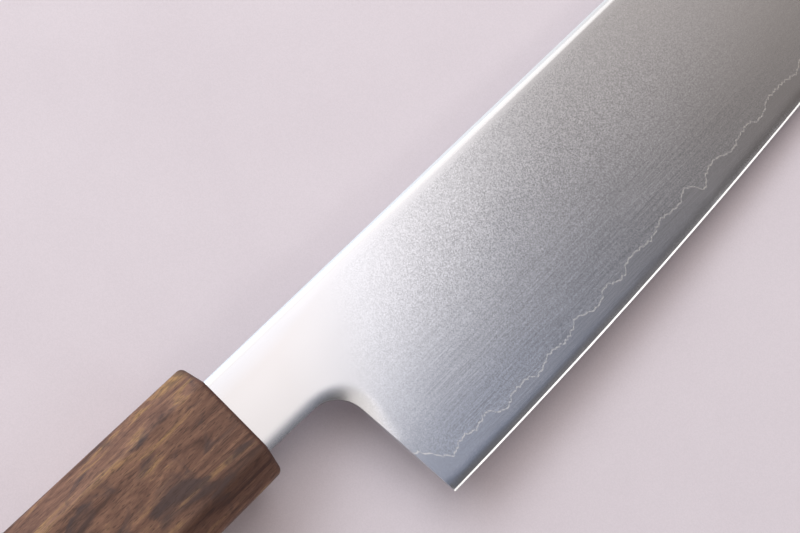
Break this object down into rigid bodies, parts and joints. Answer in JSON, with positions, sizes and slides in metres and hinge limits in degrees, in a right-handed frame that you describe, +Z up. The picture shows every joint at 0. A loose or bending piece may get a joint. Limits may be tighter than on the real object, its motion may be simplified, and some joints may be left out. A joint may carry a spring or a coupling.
{
  "type": "kitchen knife",
  "caption": "Kiritsuke kitchen knife with a laminated, clip-tipped steel blade and an octagonal wooden handle, lying on its side.",
  "frame": {"origin": "middle of the underside of the bounding box, on the surface that the knife lies on", "axes": "+X along the handle and spine towards the tip, +Y towards the spine, +Z up, out of the blade's right face; the knife rests on its tip and on the front of the handle's lower facet, so it leans 2.6 degrees tip down"},
  "size_m": [0.3532, 0.0516, 0.0268],
  "materials": {
    "core_steel": "fine satin, brushed lengthwise, with a bright ground bevel along the edge",
    "cladding_steel": "satin, finely brushed along the blade",
    "handle_wood": "oiled walnut, smooth, open grain along the handle",
    "dowel_wood": "plain, unfinished",
    "adhesive": "set glue, dull"
  },
  "bodies": {
    "root": {"core_steel": "core_steel", "cladding_right": "cladding_steel", "cladding_left": "cladding_steel", "handle_body": "handle_wood", "dowel_half_upper": "dowel_wood", "dowel_half_lower": "dowel_wood", "tang_adhesive": "adhesive", "mouth_seal": "adhesive"}
  },
  "joints": []
}
